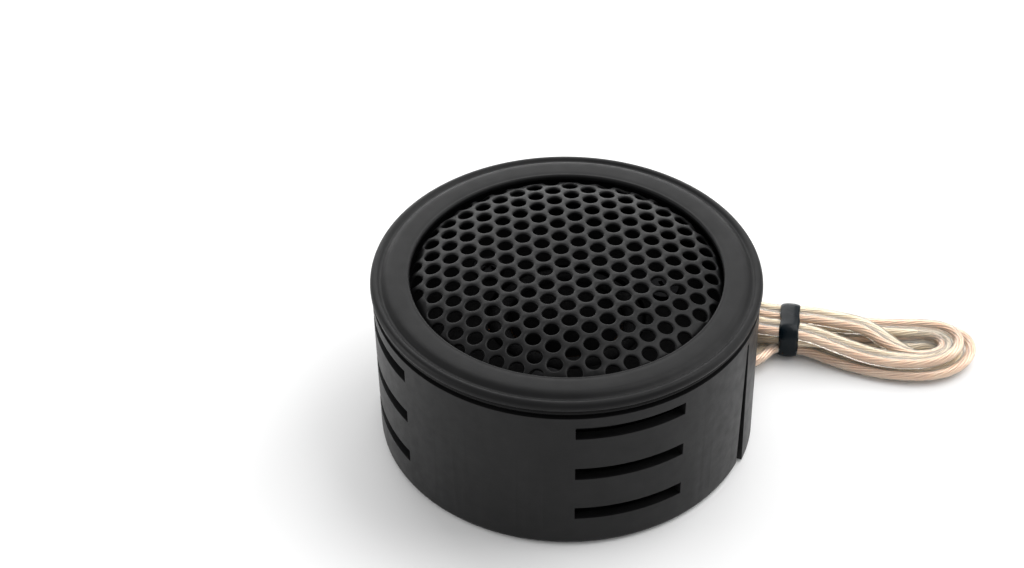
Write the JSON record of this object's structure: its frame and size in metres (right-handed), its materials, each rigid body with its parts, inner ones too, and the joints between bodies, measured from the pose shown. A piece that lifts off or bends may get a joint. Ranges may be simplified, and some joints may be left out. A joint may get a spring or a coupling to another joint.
{
  "type": "car tweeter",
  "caption": "Round surface-mount dome tweeter with a domed perforated grille, a slotted cup that the driver lifts out of, and a clear twin wire tied in a hank.",
  "frame": {"origin": "centre of the cup's underside, on the surface that the tweeter is fixed to", "axes": "+Z out of the grille along the driver's axis; the wire leaves the cup on the +X side, a little towards +Y"},
  "size_m": [0.0785, 0.0622, 0.0249],
  "materials": {
    "cup_plastic": "fine moulded texture, charcoal",
    "bezel_plastic": "satin, charcoal",
    "grille_steel": "satin black paint on perforated steel",
    "foam": "closed-cell foam",
    "frame_plastic": "matte black",
    "zinc_steel": "zinc plated",
    "black_steel": "black oxide",
    "ferrite": "ground ferrite",
    "felt": "pressed felt",
    "surround_cloth": "coated cloth",
    "dome_film": "smoked film",
    "former_film": "amber film",
    "enamelled_copper": "enamelled wire",
    "board": "phenolic paper board",
    "tag_metal": "tinned brass",
    "can_aluminium": "satin",
    "sleeve_film": "shrunk sleeve",
    "seal_rubber": "moulded rubber",
    "clear_wire": "clear soft plastic over copper strands",
    "tie_rubber": "shrunk tube band",
    "tinned_copper": "tinned strands"
  },
  "bodies": {
    "cup": {"housing_cup": "cup_plastic", "wire_grommet": "seal_rubber", "inner_lead": "clear_wire", "cord_lead": "clear_wire", "cord_hank": "clear_wire", "cord_tie": "tie_rubber", "cord_tips": "tinned_copper"},
    "capsule": {"front_bezel": "bezel_plastic", "grille": "grille_steel", "grille_gasket": "foam", "driver_frame": "frame_plastic", "frame_screws": "black_steel", "top_plate": "zinc_steel", "ring_magnet": "ferrite", "pole_yoke": "zinc_steel", "pole_felt": "felt", "surround": "surround_cloth", "coil_leads": "enamelled_copper", "terminal_board": "board", "terminal_rivets": "tag_metal", "solder_tags": "tag_metal", "core_tails": "clear_wire", "capacitor_can": "can_aluminium", "capacitor_sleeve": "sleeve_film", "capacitor_bung": "seal_rubber", "capacitor_leads": "tinned_copper"},
    "diaphragm": {"dome": "dome_film", "coil_former": "former_film", "voice_coil": "enamelled_copper"}
  },
  "joints": [
    {"name": "capsule_lift", "type": "slide", "parent": "cup", "child": "capsule", "axis": [0, 0, 1], "range_m": [0, 0.018], "deforming": ["inner_lead"]},
    {"name": "diaphragm_travel", "type": "slide", "parent": "capsule", "child": "diaphragm", "axis": [0, 0, 1], "range_m": [-0.0004, 0.0004], "stiffness_N_per_m": 150, "deforming": ["surround", "coil_leads"]}
  ]
}
